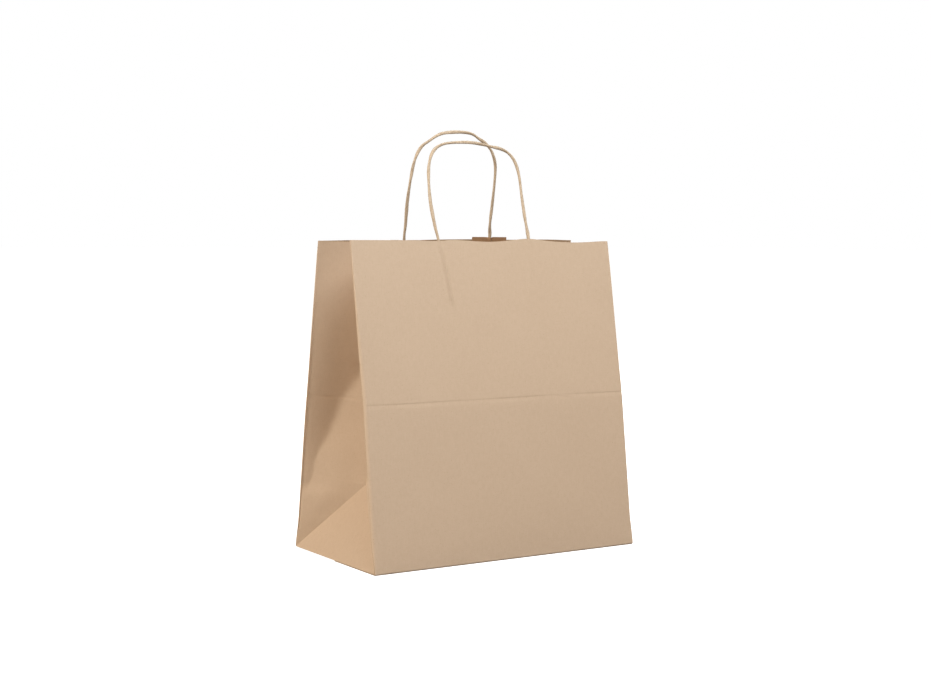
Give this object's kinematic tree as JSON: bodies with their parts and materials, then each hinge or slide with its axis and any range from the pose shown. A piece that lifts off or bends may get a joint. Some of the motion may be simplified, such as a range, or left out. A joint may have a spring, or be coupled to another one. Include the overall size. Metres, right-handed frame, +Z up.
{
  "type": "paper carrier bag",
  "caption": "Upright kraft paper gift bag with block bottom, folded-in side gussets, open mouth and a pair of twisted paper cord handles.",
  "frame": {"origin": "middle of the base, on the surface the bag stands on", "axes": "+Z up, +X along the wide panels to the bag's right seen from the front, +Y from the front panel to the back panel"},
  "size_m": [0.28, 0.1504, 0.3864],
  "materials": {
    "kraft_paper": "uncoated machine-glazed brown kraft, matt",
    "kraft_inside": "uncoated brown kraft, inner face, matt",
    "paper_cord": "twisted kraft paper cord, matt"
  },
  "bodies": {
    "base": {"bottom_flap_front": "kraft_paper", "bottom_flap_back": "kraft_paper", "bottom_flap_left": "kraft_inside", "bottom_flap_right": "kraft_inside", "left_gusset_foot": "kraft_paper", "right_gusset_foot": "kraft_paper"},
    "front_side": {"front_panel": "kraft_paper", "front_patch_left": "kraft_inside", "front_patch_right": "kraft_inside", "front_cord_tail_left": "paper_cord", "front_cord_tail_right": "paper_cord"},
    "back_side": {"back_panel": "kraft_paper", "back_patch_left": "kraft_inside", "back_patch_right": "kraft_inside", "back_cord_tail_left": "paper_cord", "back_cord_tail_right": "paper_cord", "side_seam_flap": "kraft_inside"},
    "left_gusset_front_half": {"left_gusset_front": "kraft_paper"},
    "left_gusset_back_half": {"left_gusset_back": "kraft_paper"},
    "right_gusset_front_half": {"right_gusset_front": "kraft_paper"},
    "right_gusset_back_half": {"right_gusset_back": "kraft_paper"},
    "front_cord_roots": {"front_cord_root_left": "paper_cord", "front_cord_root_right": "paper_cord"},
    "front_handle": {"front_handle_bow": "paper_cord"},
    "back_cord_roots": {"back_cord_root_left": "paper_cord", "back_cord_root_right": "paper_cord"},
    "back_handle": {"back_handle_bow": "paper_cord"}
  },
  "joints": [
    {"name": "front_panel_lean", "type": "hinge", "parent": "base", "child": "front_side", "pos_m": [0, -0.075, 0.0007], "axis": [-1, 0, 0], "range_deg": [0, 4.9], "stiffness_Nm_per_rad": 0.5},
    {"name": "back_panel_lean", "type": "hinge", "parent": "base", "child": "back_side", "pos_m": [0, 0.075, 0.0014], "axis": [1, 0, 0], "range_deg": [0, 4.9], "stiffness_Nm_per_rad": 0.5},
    {"name": "left_gusset_front_fold", "type": "hinge", "parent": "front_side", "child": "left_gusset_front_half", "pos_m": [-0.1393, -0.0736, 0.0021], "axis": [0, -0.1562, -0.9877], "range_deg": [0, 21.08]},
    {"name": "left_gusset_back_fold", "type": "hinge", "parent": "back_side", "child": "left_gusset_back_half", "pos_m": [-0.1393, 0.0736, 0.0021], "axis": [0, -0.1562, 0.9877], "range_deg": [0, 21.08]},
    {"name": "right_gusset_front_fold", "type": "hinge", "parent": "front_side", "child": "right_gusset_front_half", "pos_m": [0.1393, -0.0736, 0.0021], "axis": [0, 0.1562, 0.9877], "range_deg": [0, 21.08]},
    {"name": "right_gusset_back_fold", "type": "hinge", "parent": "back_side", "child": "right_gusset_back_half", "pos_m": [0.1393, 0.0736, 0.0021], "axis": [0, 0.1562, -0.9877], "range_deg": [0, 21.08]},
    {"name": "front_cord_bend", "type": "hinge", "parent": "front_side", "child": "front_cord_roots", "pos_m": [0, -0.02728, 0.28828], "axis": [1, 0, 0], "range_deg": [0, 21.57]},
    {"name": "front_handle_swing", "type": "hinge", "parent": "front_cord_roots", "child": "front_handle", "pos_m": [0, -0.02739, 0.29474], "axis": [1, 0, 0], "range_deg": [0, 105], "stiffness_Nm_per_rad": 0.05},
    {"name": "back_cord_bend", "type": "hinge", "parent": "back_side", "child": "back_cord_roots", "pos_m": [0, 0.02728, 0.28898], "axis": [-1, 0, 0], "range_deg": [0, 17.65]},
    {"name": "back_handle_swing", "type": "hinge", "parent": "back_cord_roots", "child": "back_handle", "pos_m": [0, 0.02796, 0.29541], "axis": [-1, 0, 0], "range_deg": [0, 105], "stiffness_Nm_per_rad": 0.05}
  ],
  "couplings": [
    {"joint": "back_panel_lean", "follows": "front_panel_lean", "ratio": 1},
    {"joint": "left_gusset_front_fold", "follows": "front_panel_lean", "ratio": 4.3},
    {"joint": "left_gusset_back_fold", "follows": "front_panel_lean", "ratio": 4.3},
    {"joint": "right_gusset_front_fold", "follows": "front_panel_lean", "ratio": 4.3},
    {"joint": "right_gusset_back_fold", "follows": "front_panel_lean", "ratio": 4.3},
    {"joint": "front_cord_bend", "follows": "front_panel_lean", "ratio": 4.4},
    {"joint": "back_cord_bend", "follows": "front_panel_lean", "ratio": 3.6}
  ]
}
